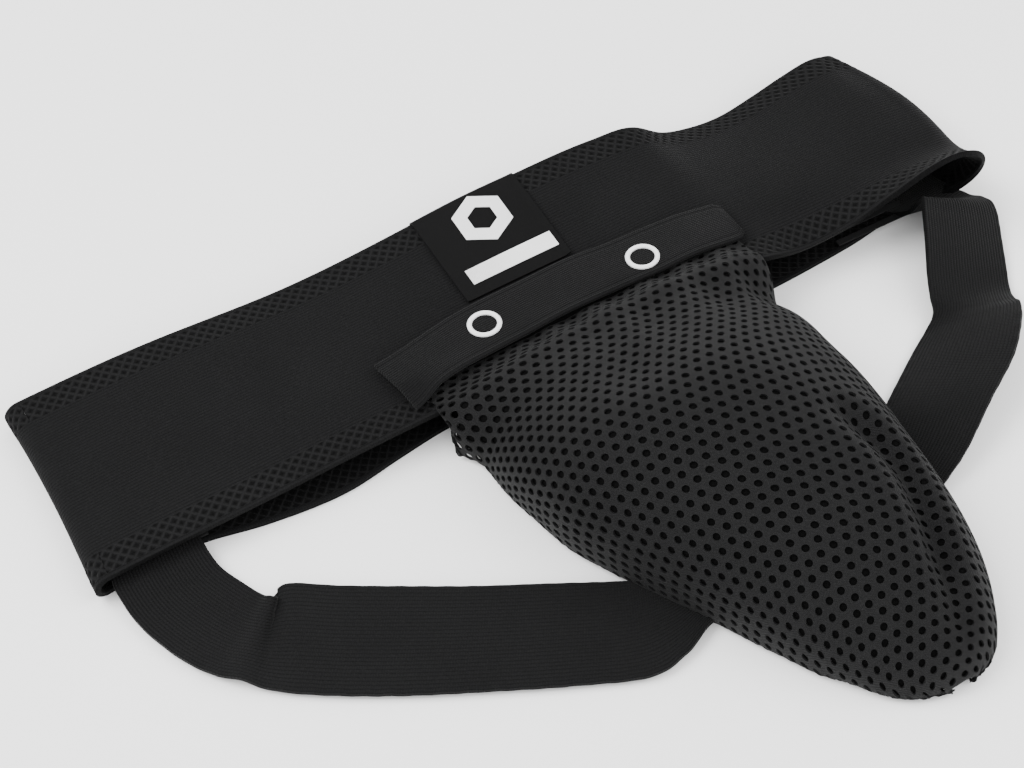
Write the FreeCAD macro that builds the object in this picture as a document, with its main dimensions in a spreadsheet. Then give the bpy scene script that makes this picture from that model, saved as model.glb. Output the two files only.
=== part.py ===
import FreeCAD, Part
import math
import os

import Sketcher
from FreeCAD import Placement, Rotation, Vector

# Groin protector: an elastic waistband laid flat, a mesh pouch with a removable hard cup, a snap band that closes
# the pouch's mouth with two ring press studs, and two elastic leg straps.
# Frame: +X along the waistband, -Y towards the pouch's tip, +Z up. The origin is the centre of the waistband's
# underside, where it lies on the table.

doc = FreeCAD.newDocument("GroinProtector")
sheet = doc.addObject("Spreadsheet::Sheet", "Sizes")

driving_sizes = [
    ("waist_length", 328, "waistband laid flat, end to end"),
    ("waist_height", 76, "width of the waistband's elastic"),
    ("waist_cloth", 2, "thickness of the waistband's elastic"),
    ("waist_press", 0.05, "how far the back layer is pressed flat by what it lies on"),
    ("fold_left_low", 11, "height of the left fold at the lower edge"),
    ("fold_left_top", 9, "height of the left fold at the top edge"),
    ("fold_right_low", 26, "height of the right fold at the lower edge"),
    ("fold_right_top", 13, "height of the right fold at the top edge"),
    ("label_width", 40, "woven label, along the waistband"),
    ("label_front", 39, "woven label, down the front from the top edge"),
    ("label_back", 9, "woven label, folded down behind the top edge"),
    ("label_cloth", 0.6, "thickness of the woven label"),
    ("label_gap", 0.4, "clearance between the label and the elastic"),
    ("label_middle", 7, "place of the label along the waistband"),
    ("band_over", 2, "snap band beyond each side of the pouch's mouth"),
    ("band_width", 23, "snap band, across"),
    ("band_cloth", 1.8, "thickness of the snap band"),
    ("band_corner", 4, "corner radius of the snap band"),
    ("band_middle", 15, "place of the snap band along the waistband"),
    ("band_rise", 21, "snap band's middle line above the waistband's lower edge"),
    ("band_lift", 3.6, "height of the snap band's underside above the waistband"),
    ("stud_spacing", 59, "distance between the two press studs, along the band"),
    ("stud_slope", 3, "how much lower on the band the right press stud sits than the left"),
    ("ring_outer", 11.6, "outer diameter of a press stud's ring"),
    ("ring_inner", 8.4, "inner diameter of a press stud's ring"),
    ("ring_high", 0.9, "height of a press stud's ring"),
    ("prong_count", 5, "prongs under each ring"),
    ("prong_wide", 1.1, "width of a prong"),
    ("prong_thick", 0.5, "thickness of a prong"),
    ("socket_outer", 10.8, "outer diameter of the socket"),
    ("socket_high", 2.6, "height of the socket"),
    ("post_diameter", 3.6, "diameter of the stud's post"),
    ("post_high", 2.5, "height of the stud above the waistband"),
    ("post_clearance", 0.45, "clearance round the post in the socket"),
    ("stud_base", 10.4, "diameter of the stud's base"),
    ("stud_base_high", 0.55, "thickness of the stud's base"),
    ("metal_gap", 0.12, "clearance between metal and cloth"),
    ("cup_side_room", 17, "room between the cup's widest line and the pouch's side"),
    ("cup_tip_room", 10, "room between the cup's tip and the pouch's tip"),
    ("cup_crown_room", 3.7, "room between the cup's crown and the mesh"),
    ("pouch_middle", 17, "place of the pouch's mouth along the waistband"),
    ("mouth_rise", 8.5, "pouch's mouth above the waistband's lower edge"),
    ("mouth_gap", 0.7, "clearance between the mesh and the waistband's front"),
    ("mouth_high", 2.6, "height of the mesh above the waistband at the mouth"),
    ("lip_high", 6.5, "height of the mesh above the waistband's lower edge"),
    ("pouch_tilt", 3.2, "degrees that the pouch falls towards its tip"),
    ("tongue_length", 5, "lining's tongue, from the pouch's mouth up behind the waistband"),
    ("tongue_width", 88, "lining's tongue, across"),
    ("tongue_root", 12, "place along the pouch where the tongue widens into the lining"),
    ("tip_rise", 2.2, "height of the lining above the table at the tip"),
    ("mesh_cloth", 1.5, "thickness of the air mesh"),
    ("lining_cloth", 1.2, "thickness of the lining"),
    ("seam_gap", 0.1, "clearance between the mesh's rim and the lining"),
    ("cup_length", 134, "cup with its rim, along the pouch"),
    ("cup_width", 92, "cup with its rim, across"),
    ("cup_height", 41, "cup's dome above its flange"),
    ("cup_wall", 2.6, "wall of the cup's dome"),
    ("cup_flange", 7, "width of the cup's flange"),
    ("cup_flange_thick", 2.2, "thickness of the cup's flange"),
    ("cup_turn", 12, "degrees that the cup is turned in the pouch"),
    ("cup_start", 24, "place of the cup's top end along the pouch"),
    ("cup_aside", 2, "place of the cup's top end beside the pouch's middle line"),
    ("cup_seat", 1.3, "clearance between the lining and the cup's rim"),
    ("rim_over", 3, "width of the soft rim beyond the flange"),
    ("rim_lap", 3, "width of the soft rim that grips the flange"),
    ("rim_wall", 1, "thickness of the soft rim above and below the flange"),
    ("rim_clearance", 0.05, "clearance between the rim and the flange"),
    ("slot_length", 17, "air slot in the cup's dome"),
    ("slot_width", 4, "air slot, across"),
    ("slot_pitch", 13, "distance between the air slots"),
    ("slot_count", 5, "air slots in the cup's dome"),
    ("slot_fan", 6.5, "degrees between neighbouring air slots"),
    ("slot_place", 62, "place of the air slots' middles along the cup"),
    ("strap_width", 38, "width of a leg strap's elastic"),
    ("strap_cloth", 1.6, "thickness of a leg strap's elastic"),
    ("strap_gap", 0.3, "clearance between a strap and what it is sewn to"),
    ("strap_inset_left", 24, "left strap's middle line from the waistband's left end"),
    ("strap_inset_right", 33, "right strap's middle line from the waistband's right end"),
    ("tack_length", 30, "length of a bar tack across a strap"),
    ("tack_width", 2.4, "width of a bar tack"),
    ("tack_high", 0.6, "height of a bar tack"),
    ("tack_start", 3, "first bar tack above the waistband's lower edge"),
    ("tack_pitch", 5, "distance between bar tacks"),
    ("tack_count", 3, "bar tacks on each strap"),
]
for row, (alias, value, note) in enumerate(driving_sizes, start=1):
    sheet.set(f"A{row}", alias)
    sheet.set(f"B{row}", str(value))
    sheet.setAlias(f"B{row}", alias)
    sheet.set(f"C{row}", note)
doc.recompute()

parts = []


def size(alias):
    return float(sheet.get(alias))


# ---- helpers for sketched bodies ----


def new_body(label):
    body = doc.addObject("PartDesign::Body", label)
    body.Label = label
    parts.append(body)
    return body


def origin_feature(body, role):
    return next(item for item in body.Origin.OriginFeatures if item.Role == role)


def new_sketch(body, name, role):
    sketch = body.newObject("Sketcher::SketchObject", name)
    sketch.AttachmentSupport = (origin_feature(body, role), [""])
    sketch.MapMode = "FlatFace"
    return sketch


def bind(sketch, kind, first, first_point, second, second_point, value, expression):
    """Adds a distance between two points and ties it to the sheet."""
    index = sketch.addConstraint(Sketcher.Constraint(kind, first, first_point, second, second_point, value))
    sketch.setExpression(f"Constraints[{index}]", expression)


def add_polygon(sketch, corners):
    """Closed polygon: each corner is (x, y, expression for x, expression for y), left out where it is zero."""
    count = len(corners)
    for index, corner in enumerate(corners):
        following = corners[(index + 1) % count]
        start = Vector(corner[0], corner[1], 0)
        end = Vector(following[0], following[1], 0)
        sketch.addGeometry(Part.LineSegment(start, end), False)
    for index in range(count):
        sketch.addConstraint(Sketcher.Constraint("Coincident", index, 2, (index + 1) % count, 1))
    for index, (x, y, x_rule, y_rule) in enumerate(corners):
        for kind, value, rule in (("DistanceX", x, x_rule), ("DistanceY", y, y_rule)):
            if abs(value) < 1e-9:
                line = -2 if kind == "DistanceX" else -1
                sketch.addConstraint(Sketcher.Constraint("PointOnObject", index, 1, line))
            elif value > 0:
                bind(sketch, kind, -1, 1, index, 1, value, rule)
            else:
                bind(sketch, kind, index, 1, -1, 1, -value, rule)


def pad(body, name, sketch, expression):
    feature = body.newObject("PartDesign::Pad", name)
    feature.Profile = sketch
    feature.setExpression("Length", expression)
    return feature


def revolve(body, name, sketch):
    feature = body.newObject("PartDesign::Revolution", name)
    feature.Profile = sketch
    feature.ReferenceAxis = (sketch, ["V_Axis"])
    feature.Angle = 360
    return feature


def add_shape(label, shape):
    feature = doc.addObject("Part::Feature", label)
    feature.Label = label
    feature.Shape = shape
    parts.append(feature)
    return feature


# ---- the waistband and the surface of its front layer ----


def edge_height(along, edge):
    """Height of the front layer above the table at one edge of the waistband, low or top."""
    left = size(f"fold_left_{edge}") / 2
    right = size(f"fold_right_{edge}") / 2
    left_centre = left - size("waist_length") / 2
    right_centre = size("waist_length") / 2 - right
    slope = (right - left) / (right_centre - left_centre)
    return 2 * (left + (along - left_centre) * slope) / (1 - slope ** 2) - size("waist_press")


def front_height(along, across):
    share = across / size("waist_height") + 0.5
    return (1 - share) * edge_height(along, "low") + share * edge_height(along, "top")


def low_edge():
    """Place of the waistband's lower edge across the waistband."""
    return -size("waist_height") / 2


def front_frame(along, across):
    """Placement on the front layer: x along the waistband, z square to the cloth."""
    rise_along = (front_height(along + 1, across) - front_height(along - 1, across)) / 2
    rise_across = (front_height(along, across + 1) - front_height(along, across - 1)) / 2
    x_way = Vector(1, 0, rise_along)
    y_way = Vector(0, 1, rise_across)
    turn = Rotation(x_way, y_way, x_way.cross(y_way), "ZXY")
    return Placement(Vector(along, across, front_height(along, across)), turn)


def loop_sketch(body, name, edge, inner):
    """Outline of the flattened loop at one edge: two folds joined by two straight layers."""
    sketch = new_sketch(body, name, "XZ_Plane")
    sign = "" if edge == "low" else "-"
    sketch.setExpression("AttachmentOffset.Base.y", "-Sizes.waist_press")
    sketch.setExpression("AttachmentOffset.Base.z", f"{sign}Sizes.waist_height / 2")
    cloth = size("waist_cloth") if inner else 0
    cloth_rule = " - Sizes.waist_cloth" if inner else ""
    left = size(f"fold_left_{edge}") / 2
    right = size(f"fold_right_{edge}") / 2
    left_centre = Vector(left - size("waist_length") / 2, left, 0)
    right_centre = Vector(size("waist_length") / 2 - right, right, 0)
    tilt = 2 * math.atan2(right - left, right_centre.x - left_centre.x)
    up = Vector(-math.sin(tilt), math.cos(tilt), 0)
    down = Vector(0, -1, 0)
    left_top = left_centre + up * (left - cloth)
    left_low = left_centre + down * (left - cloth)
    right_top = right_centre + up * (right - cloth)
    right_low = right_centre + down * (right - cloth)
    quarter = math.pi / 2
    left_circle = Part.Circle(left_centre, Vector(0, 0, 1), left - cloth)
    right_circle = Part.Circle(right_centre, Vector(0, 0, 1), right - cloth)
    sketch.addGeometry(Part.LineSegment(left_low, right_low), False)
    sketch.addGeometry(Part.ArcOfCircle(right_circle, -quarter, quarter + tilt), False)
    sketch.addGeometry(Part.LineSegment(right_top, left_top), False)
    sketch.addGeometry(Part.ArcOfCircle(left_circle, quarter + tilt, 3 * quarter), False)
    sketch.addConstraint(Sketcher.Constraint("Tangent", 0, 2, 1, 1))
    sketch.addConstraint(Sketcher.Constraint("Tangent", 1, 2, 2, 1))
    sketch.addConstraint(Sketcher.Constraint("Tangent", 2, 2, 3, 1))
    sketch.addConstraint(Sketcher.Constraint("Tangent", 3, 2, 0, 1))
    for arc, centre, radius, side in ((3, left_centre, left, "left"), (1, right_centre, right, "right")):
        alias = f"Sizes.fold_{side}_{edge}"
        reach_rule = f"Sizes.waist_length / 2 - {alias} / 2"
        index = sketch.addConstraint(Sketcher.Constraint("Radius", arc, radius - cloth))
        sketch.setExpression(f"Constraints[{index}]", f"{alias} / 2{cloth_rule}")
        if side == "left":
            bind(sketch, "DistanceX", arc, 3, -1, 1, -centre.x, reach_rule)
        else:
            bind(sketch, "DistanceX", -1, 1, arc, 3, centre.x, reach_rule)
        bind(sketch, "DistanceY", -1, 1, arc, 3, centre.y, f"{alias} / 2")
    return sketch


def press_flat(body):
    """Takes off what lies below the table, which leaves a flat face under the back layer."""
    sketch = new_sketch(body, "RestOutline", "XY_Plane")
    length = size("waist_length")
    height = size("waist_height")
    add_polygon(sketch, [
        (-length, -height, "Sizes.waist_length", "Sizes.waist_height"),
        (length, -height, "Sizes.waist_length", "Sizes.waist_height"),
        (length, height, "Sizes.waist_length", "Sizes.waist_height"),
        (-length, height, "Sizes.waist_length", "Sizes.waist_height"),
    ])
    rest = body.newObject("PartDesign::Pocket", "RestFace")
    rest.Profile = sketch
    rest.setExpression("Length", "Sizes.waist_cloth")


def build_waistband():
    body = new_body("waistband")
    outer_low = loop_sketch(body, "LoopOuterLow", "low", False)
    outer_top = loop_sketch(body, "LoopOuterTop", "top", False)
    outer = body.newObject("PartDesign::AdditiveLoft", "LoopOuter")
    outer.Profile = outer_low
    outer.Sections = [outer_top]
    outer.Ruled = True
    inner_low = loop_sketch(body, "LoopInnerLow", "low", True)
    inner_top = loop_sketch(body, "LoopInnerTop", "top", True)
    inner = body.newObject("PartDesign::SubtractiveLoft", "LoopInner")
    inner.Profile = inner_low
    inner.Sections = [inner_top]
    inner.Ruled = True
    press_flat(body)


def build_label():
    """Woven label: front leg, fold over the top edge, short leg behind it."""
    body = new_body("woven_label")
    sketch = new_sketch(body, "LabelSection", "YZ_Plane")
    gap = size("label_gap")
    cloth = size("label_cloth")
    front_low = -size("label_front")
    back_low = -size("label_back")
    under = -size("waist_cloth")
    gap_rule = "Sizes.label_gap"
    skin_rule = "Sizes.label_gap + Sizes.label_cloth"
    under_rule = "Sizes.waist_cloth + Sizes.label_gap"
    skin_under_rule = "Sizes.waist_cloth + Sizes.label_gap + Sizes.label_cloth"
    add_polygon(sketch, [
        (front_low, gap, "Sizes.label_front", gap_rule),
        (gap, gap, gap_rule, gap_rule),
        (gap, under - gap, gap_rule, under_rule),
        (back_low, under - gap, "Sizes.label_back", under_rule),
        (back_low, under - gap - cloth, "Sizes.label_back", skin_under_rule),
        (gap + cloth, under - gap - cloth, skin_rule, skin_under_rule),
        (gap + cloth, gap + cloth, skin_rule, skin_rule),
        (front_low, gap + cloth, "Sizes.label_front", skin_rule),
    ])
    fold = pad(body, "LabelFold", sketch, "Sizes.label_width")
    fold.Midplane = True
    body.Placement = front_frame(size("label_middle"), size("waist_height") / 2)


# ---- the snap band and its press studs ----


def band_frame():
    return front_frame(size("band_middle"), low_edge() + size("band_rise"))


def build_snap_band():
    body = new_body("snap_band")
    sketch = new_sketch(body, "BandOutline", "XY_Plane")
    sketch.setExpression("AttachmentOffset.Base.z", "Sizes.band_lift")
    reach = pouch_width() / 2 + size("band_over")
    reach_rule = "Sizes.cup_width / 2 + Sizes.cup_side_room + Sizes.band_over"
    half = size("band_width") / 2
    half_rule = "Sizes.band_width / 2"
    add_polygon(sketch, [
        (-reach, -half, reach_rule, half_rule),
        (reach, -half, reach_rule, half_rule),
        (reach, half, reach_rule, half_rule),
        (-reach, half, reach_rule, half_rule),
    ])
    strip = pad(body, "BandStrip", sketch, "Sizes.band_cloth")
    doc.recompute()
    corners = [
        f"Edge{index}"
        for index, edge in enumerate(strip.Shape.Edges, start=1)
        if abs(edge.tangentAt(edge.FirstParameter).z) > 0.99
    ]
    rounding = body.newObject("PartDesign::Fillet", "BandCorners")
    rounding.Base = (strip, corners)
    rounding.setExpression("Radius", "Sizes.band_corner")
    body.Placement = band_frame()


def ring_section(body, name, base_rule, base, up):
    """Section of a ring: flat where it sits on the cloth, chamfered away from it."""
    sketch = new_sketch(body, name, "XZ_Plane")
    inner = size("ring_inner") / 2
    outer = size("ring_outer") / 2
    high = size("ring_high")
    side = "+" if up else "-"
    face = base + high if up else base - high
    shoulder = base + high / 2 if up else base - high / 2
    inner_rule = "Sizes.ring_inner / 2"
    outer_rule = "Sizes.ring_outer / 2"
    inner_top_rule = "Sizes.ring_inner / 2 + Sizes.ring_high / 2"
    outer_top_rule = "Sizes.ring_outer / 2 - Sizes.ring_high / 2"
    shoulder_rule = f"abs({base_rule} {side} Sizes.ring_high / 2)"
    face_rule = f"abs({base_rule} {side} Sizes.ring_high)"
    add_polygon(sketch, [
        (inner, base, inner_rule, f"abs({base_rule})"),
        (outer, base, outer_rule, f"abs({base_rule})"),
        (outer, shoulder, outer_rule, shoulder_rule),
        (outer - high / 2, face, outer_top_rule, face_rule),
        (inner + high / 2, face, inner_top_rule, face_rule),
        (inner, shoulder, inner_rule, shoulder_rule),
    ])
    return sketch


def build_ring(label, base, base_rule, up, through_rule):
    """Prong ring: a rounded ring on the cloth with prongs through it. The prongs point away from its face."""
    body = new_body(label)
    ring = revolve(body, "Ring", ring_section(body, "RingSection", base_rule, base, up))
    sketch = new_sketch(body, "ProngOutline", "XY_Plane")
    sketch.setExpression("AttachmentOffset.Base.z", base_rule)
    middle = (size("ring_inner") + size("ring_outer")) / 4
    middle_rule = "(Sizes.ring_inner + Sizes.ring_outer) / 4"
    thick = size("prong_thick") / 2
    wide = size("prong_wide") / 2
    near_rule = f"{middle_rule} - Sizes.prong_thick / 2"
    far_rule = f"{middle_rule} + Sizes.prong_thick / 2"
    add_polygon(sketch, [
        (middle - thick, -wide, near_rule, "Sizes.prong_wide / 2"),
        (middle + thick, -wide, far_rule, "Sizes.prong_wide / 2"),
        (middle + thick, wide, far_rule, "Sizes.prong_wide / 2"),
        (middle - thick, wide, near_rule, "Sizes.prong_wide / 2"),
    ])
    prong = pad(body, "Prong", sketch, through_rule)
    prong.Reversed = up
    pattern = body.newObject("PartDesign::PolarPattern", "Prongs")
    pattern.Originals = [prong]
    pattern.Axis = (origin_feature(body, "Z_Axis"), [""])
    pattern.Angle = 360
    pattern.setExpression("Occurrences", "Sizes.prong_count")
    body.Tip = pattern
    return body


def build_socket(label):
    """Female half: a round cap with a blind hole for the post, hung from the snap band."""
    body = new_body(label)
    sketch = new_sketch(body, "SocketSection", "XZ_Plane")
    top = size("band_lift") - size("metal_gap")
    low = top - size("socket_high")
    hole = size("post_diameter") / 2 + size("post_clearance")
    roof = size("post_high") + size("post_clearance")
    outer = size("socket_outer") / 2
    top_rule = "Sizes.band_lift - Sizes.metal_gap"
    low_rule = "Sizes.band_lift - Sizes.metal_gap - Sizes.socket_high"
    hole_rule = "Sizes.post_diameter / 2 + Sizes.post_clearance"
    roof_rule = "Sizes.post_high + Sizes.post_clearance"
    outer_rule = "Sizes.socket_outer / 2"
    add_polygon(sketch, [
        (hole, low, hole_rule, low_rule),
        (outer, low, outer_rule, low_rule),
        (outer, top, outer_rule, top_rule),
        (0, top, "", top_rule),
        (0, roof, "", roof_rule),
        (hole, roof, hole_rule, roof_rule),
    ])
    revolve(body, "Socket", sketch)
    return body


def build_stud(label):
    """Male half: a flat base on the waistband and a post that the socket grips."""
    body = new_body(label)
    sketch = new_sketch(body, "StudSection", "XZ_Plane")
    low = size("metal_gap")
    step = low + size("stud_base_high")
    outer = size("stud_base") / 2
    post = size("post_diameter") / 2
    high = size("post_high")
    step_rule = "Sizes.metal_gap + Sizes.stud_base_high"
    post_rule = "Sizes.post_diameter / 2"
    add_polygon(sketch, [
        (0, low, "", "Sizes.metal_gap"),
        (outer, low, "Sizes.stud_base / 2", "Sizes.metal_gap"),
        (outer, step, "Sizes.stud_base / 2", step_rule),
        (post, step, post_rule, step_rule),
        (post, high, post_rule, "Sizes.post_high"),
        (0, high, "", "Sizes.post_high"),
    ])
    revolve(body, "Stud", sketch)
    return body


def build_press_studs():
    face = size("band_lift") + size("band_cloth")
    face_rule = "Sizes.band_lift + Sizes.band_cloth"
    inside = -size("waist_cloth")
    inside_rule = "-Sizes.waist_cloth"
    for side, sign in (("left", -1), ("right", 1)):
        pieces = [
            build_ring(f"cap_ring_{side}", face, face_rule, True, "Sizes.band_cloth"),
            build_socket(f"socket_{side}"),
            build_stud(f"stud_{side}"),
            build_ring(f"stud_ring_{side}", inside, inside_rule, False, "Sizes.waist_cloth"),
        ]
        drop = size("stud_slope") if side == "right" else 0
        place = Placement(Vector(sign * size("stud_spacing") / 2, -drop, 0), Rotation())
        for piece in pieces:
            piece.Placement = band_frame().multiply(place)


# ---- the pouch: lining, mesh and cup ----

# Shape of the pouch along its length: share of the length, sideways drift of the middle line as a share of the
# length, because it follows the turned cup, half width as a share of the width, crown height as a share of the height.
pouch_shape = [
    (0.15, 0.0075, 0.465, 0.60),
    (0.27, 0.0150, 0.450, 0.86),
    (0.42, 0.0450, 0.415, 1.00),
    (0.57, 0.0825, 0.372, 0.98),
    (0.71, 0.1275, 0.318, 0.84),
    (0.85, 0.1575, 0.245, 0.58),
    (0.95, 0.1800, 0.155, 0.32),
    (0.99, 0.1875, 0.085, 0.17),
]

# Shape of the cup: share of its length, half width as a share of its width, crown height as a share of its height.
cup_shape = [
    (0.01, 0.11, 0.12),
    (0.08, 0.33, 0.46),
    (0.20, 0.46, 0.80),
    (0.38, 0.495, 1.00),
    (0.56, 0.435, 0.98),
    (0.74, 0.34, 0.80),
    (0.90, 0.22, 0.48),
    (0.99, 0.09, 0.13),
]


def pouch_length():
    return size("cup_start") + size("cup_length") + size("cup_tip_room")


def pouch_width():
    return size("cup_width") + 2 * size("cup_side_room")


def pouch_height():
    return size("cup_height") + size("cup_seat") + size("rim_wall") + size("mesh_cloth") + size("cup_crown_room")


def pouch_frame():
    """Placement of the lining's underside: -y runs to the tip, z is square to the lining."""
    tilt = math.radians(size("pouch_tilt"))
    rise = size("tip_rise") + pouch_length() * math.sin(tilt)
    place = Vector(size("pouch_middle"), low_edge() + size("mouth_rise"), rise)
    return Placement(place, Rotation(Vector(1, 0, 0), size("pouch_tilt")))


def arch_wire(along, middle, half_width, base, crown, roll=0.0):
    """Half ellipse closed by a straight base, across the pouch at one station."""
    ellipse = Part.Ellipse()
    ellipse.MajorRadius = max(half_width, crown)
    ellipse.MinorRadius = min(half_width, crown)
    wide = half_width >= crown
    if wide:
        arc = Part.ArcOfEllipse(ellipse, 0, math.pi).toShape()
    else:
        arc = Part.ArcOfEllipse(ellipse, -math.pi / 2, math.pi / 2).toShape()
        arc.rotate(Vector(), Vector(0, 0, 1), 90)
    ends = [arc.Vertexes[-1].Point, arc.Vertexes[0].Point]
    wire = Part.Wire([arc, Part.LineSegment(*ends).toShape()])
    wire.rotate(Vector(), Vector(1, 0, 0), 90)
    wire.rotate(Vector(), Vector(0, 1, 0), -roll)
    wire.translate(Vector(middle, -along, base))
    return wire


def mouth_stations(inset):
    """The mesh where it lies on the waistband's front layer, tilted as that layer is."""
    frame = pouch_frame().inverse()
    middle = size("pouch_middle")
    stations = []
    for across, crown in ((low_edge() + size("mouth_rise"), size("mouth_high")), (low_edge(), size("lip_high"))):
        ground = front_height(middle, across)
        slope = front_height(middle + 1, across) - ground
        place = frame.multVec(Vector(middle, across, ground + size("mouth_gap")))
        roll = math.degrees(math.atan(slope))
        stations.append((-place.y, 0.0, pouch_width() / 2 - inset, place.z, crown, roll))
    return stations


def mesh_stations(inset):
    """All stations of the mesh; inset is 0 for its outside and the cloth's thickness for its inside."""
    base = size("lining_cloth") + size("seam_gap")
    width = pouch_width()
    stations = mouth_stations(inset)
    for share, drift, half, crown in pouch_shape:
        stations.append((
            share * pouch_length(),
            drift * pouch_length(),
            half * width - inset,
            base,
            crown * pouch_height(),
            0.0,
        ))
    return stations


def loft(stations, ruled):
    return Part.makeLoft([arch_wire(*station) for station in stations], True, ruled)


def build_mesh():
    """Air mesh: a hollow arch, open at its mouth and along its underside."""
    cloth = size("mesh_cloth")
    outer = loft(mesh_stations(0.0), True)
    hollow = []
    for along, middle, half_width, base, crown, roll in mesh_stations(cloth):
        hollow.append((along, middle, half_width, base - cloth, crown, roll))
    along, *section = hollow[0]
    hollow.insert(0, (along - size("mouth_rise"), *section))
    along, *section = hollow[-1]
    hollow[-1] = (along - cloth, *section)
    mesh = add_shape("pouch_mesh", outer.cut(loft(hollow, True)))
    mesh.Placement = pouch_frame()


def build_lining():
    """Body-side panel: as wide as the mesh, with a tongue that is sewn behind the waistband's lower edge."""
    width = pouch_width()
    length = pouch_length()
    right = [Vector(drift * length + half * width, -share * length, 0) for share, drift, half, crown in pouch_shape]
    left = [Vector(drift * length - half * width, -share * length, 0) for share, drift, half, crown in pouch_shape]
    tip = Vector(pouch_shape[-1][1] * length, -length, 0)
    neck = size("tongue_width") / 2
    neck_right = Vector(neck, -size("tongue_root"), 0)
    neck_left = Vector(-neck, -size("tongue_root"), 0)
    side = Part.BSplineCurve()
    side.interpolate([neck_right] + right + [tip] + left[::-1] + [neck_left])
    corner_right = Vector(neck, size("tongue_length"), 0)
    corner_left = Vector(-neck, size("tongue_length"), 0)
    outline = Part.Wire([
        side.toShape(),
        Part.LineSegment(neck_left, corner_left).toShape(),
        Part.LineSegment(corner_left, corner_right).toShape(),
        Part.LineSegment(corner_right, neck_right).toShape(),
    ])
    lining = add_shape("pouch_lining", Part.Face(outline).extrude(Vector(0, 0, size("lining_cloth"))))
    lining.Placement = pouch_frame()


def cup_frame():
    """Placement of the underside of the cup's flange, turned a little in the pouch."""
    rise = size("lining_cloth") + size("cup_seat") + size("rim_wall")
    top_end = Vector(size("cup_aside"), -size("cup_start"), rise)
    place = Placement(top_end, Rotation(Vector(0, 0, 1), size("cup_turn")))
    return pouch_frame().multiply(place)


def cup_outline(inset):
    """Closed outline of the cup seen from above, drawn in by the inset."""
    length = size("cup_length")
    width = size("cup_width")
    ends = [Vector(0, -inset, 0), Vector(0, inset - length, 0)]
    scale = (length - 2 * inset) / length
    side = [
        Vector(half * width - inset, -inset - share * length * scale, 0)
        for share, half, crown in cup_shape[1:-1]
    ]
    other = [Vector(-point.x, point.y, 0) for point in side[::-1]]
    curve = Part.BSplineCurve()
    curve.interpolate([ends[0]] + side + [ends[1]] + other, True)
    return Part.Wire(curve.toShape())


def cup_dome(inset, drop):
    """Solid dome: the inset is 0 for its outside and the wall for its hollow, which reaches below by the drop."""
    edge = size("rim_over") + size("cup_flange")
    length = size("cup_length") - 2 * edge
    width = size("cup_width") - 2 * edge
    scale = (length - 2 * inset) / length
    stations = []
    for share, half, crown in cup_shape:
        along = edge + inset + share * length * scale
        high = crown * size("cup_height") - inset + drop
        stations.append((along, 0.0, half * width - inset, -drop, high))
    return loft(stations, False)


def air_slots():
    """Upright cutters for the air slots, in a fan across the dome's crown and clear of the flange."""
    cutters = []
    count = int(size("slot_count"))
    wide = size("slot_width")
    long = size("slot_length")
    for index in range(count):
        step = index - (count - 1) / 2
        slot = Part.makeBox(wide, long, 2 * size("cup_height"))
        slot.translate(Vector(-wide / 2, -long / 2, size("cup_flange_thick")))
        slot.rotate(Vector(), Vector(0, 0, 1), -step * size("slot_fan"))
        slot.translate(Vector(step * size("slot_pitch"), -size("slot_place"), 0))
        cutters.append(slot)
    return cutters


def build_cup():
    flange_outline = Part.Face(cup_outline(size("rim_over")))
    flange = flange_outline.extrude(Vector(0, 0, size("cup_flange_thick")))
    shell = flange.fuse(cup_dome(0.0, 0.0)).cut(cup_dome(size("cup_wall"), size("cup_wall") / 2))
    for slot in air_slots():
        shell = shell.cut(slot)
    shell = shell.removeSplitter()
    cup = add_shape("cup_shell", shell)
    cup.Placement = cup_frame()


def build_cup_rim():
    """Soft edge: a channel that grips the flange all round."""
    wall = size("rim_wall")
    thick = size("cup_flange_thick")
    play = size("rim_clearance")
    inner = size("rim_over") + size("rim_lap")
    ring = Part.Face(cup_outline(0.0)).cut(Part.Face(cup_outline(inner)))
    channel = ring.extrude(Vector(0, 0, thick + 2 * wall))
    channel.translate(Vector(0, 0, -wall))
    groove = Part.Face(cup_outline(size("rim_over") - play)).extrude(Vector(0, 0, thick + 2 * play))
    groove.translate(Vector(0, 0, -play))
    rim = add_shape("cup_rim", channel.cut(groove))
    rim.Placement = cup_frame()


# ---- leg straps ----


def strap_wire(place, yaw, pitch, roll):
    """Section of a strap square to its run: yaw is the run's direction in plan, pitch its climb, roll its lean."""
    half_width = size("strap_width") / 2
    cloth = size("strap_cloth")
    corners = [
        Vector(0, -half_width, 0),
        Vector(0, half_width, 0),
        Vector(0, half_width, cloth),
        Vector(0, -half_width, cloth),
    ]
    turn = Rotation(yaw, -pitch, roll)
    points = [turn.multVec(corner) + place for corner in corners]
    return Part.makePolygon(points + points[:1])


def build_strap(label, stations):
    sections = [strap_wire(Vector(x, y, z), yaw, pitch, roll) for x, y, z, yaw, pitch, roll in stations]
    add_shape(label, Part.makeLoft(sections, True, True))


def strap_floor():
    """Height of a strap's underside where it is sewn on the inside of the waistband's back layer."""
    return size("waist_cloth") + size("strap_gap")


def strap_middle(side):
    """Place of a strap's middle line along the waistband, where it is sewn."""
    if side == "left":
        return size("strap_inset_left") - size("waist_length") / 2
    return size("waist_length") / 2 - size("strap_inset_right")


def pouch_tip():
    return pouch_frame().multVec(Vector(pouch_shape[-1][1] * pouch_length(), -pouch_length(), 0))


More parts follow.
